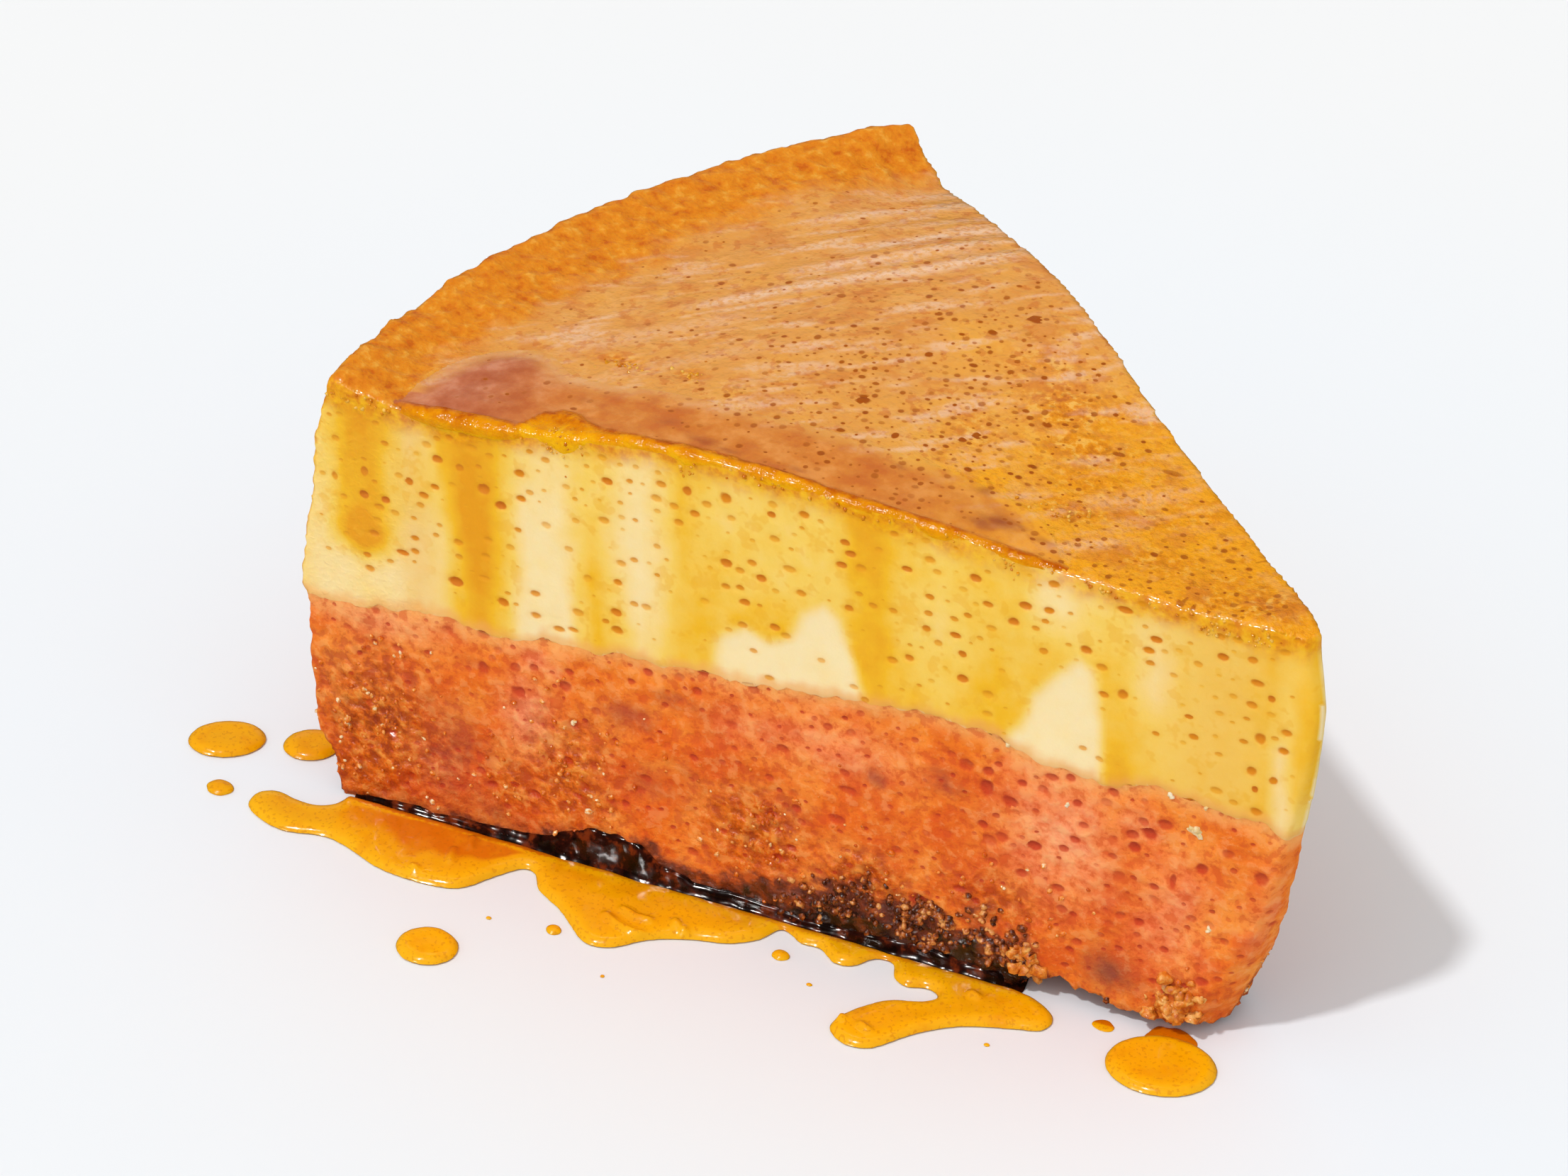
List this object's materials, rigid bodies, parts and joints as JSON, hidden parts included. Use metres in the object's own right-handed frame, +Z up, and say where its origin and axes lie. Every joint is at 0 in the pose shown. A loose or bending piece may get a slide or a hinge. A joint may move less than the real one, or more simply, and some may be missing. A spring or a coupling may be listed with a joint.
{
  "type": "slice of creme caramel flan cake",
  "caption": "Cut wedge of set custard flan over soaked sponge, with caramel drawn down the cut face, a puddle of caramel sauce along its foot and loose drops of sauce beside it.",
  "frame": {"origin": "on the flat base, under the centre of area of the wedge seen from above", "axes": "+Z up; +X from the round side to the pointed tip; -Y is the side of the cut face that has the sauce at its foot"},
  "size_m": [0.1237, 0.1004, 0.0573],
  "materials": {
    "custard": "set custard: pale cream cut face, amber caramel streaks, satin wet sheen",
    "sponge": "soaked orange-pink sponge with open crumb and a dark, wet caramel base",
    "sauce": "clear amber caramel sauce, glossy"
  },
  "bodies": {
    "root": {"custard": "custard", "sponge": "sponge", "sauce_pool": "sauce", "sauce_drop_tip": "sauce", "sauce_drop_front": "sauce", "sauce_drop_left": "sauce", "sauce_drop_far_left": "sauce"}
  },
  "joints": []
}
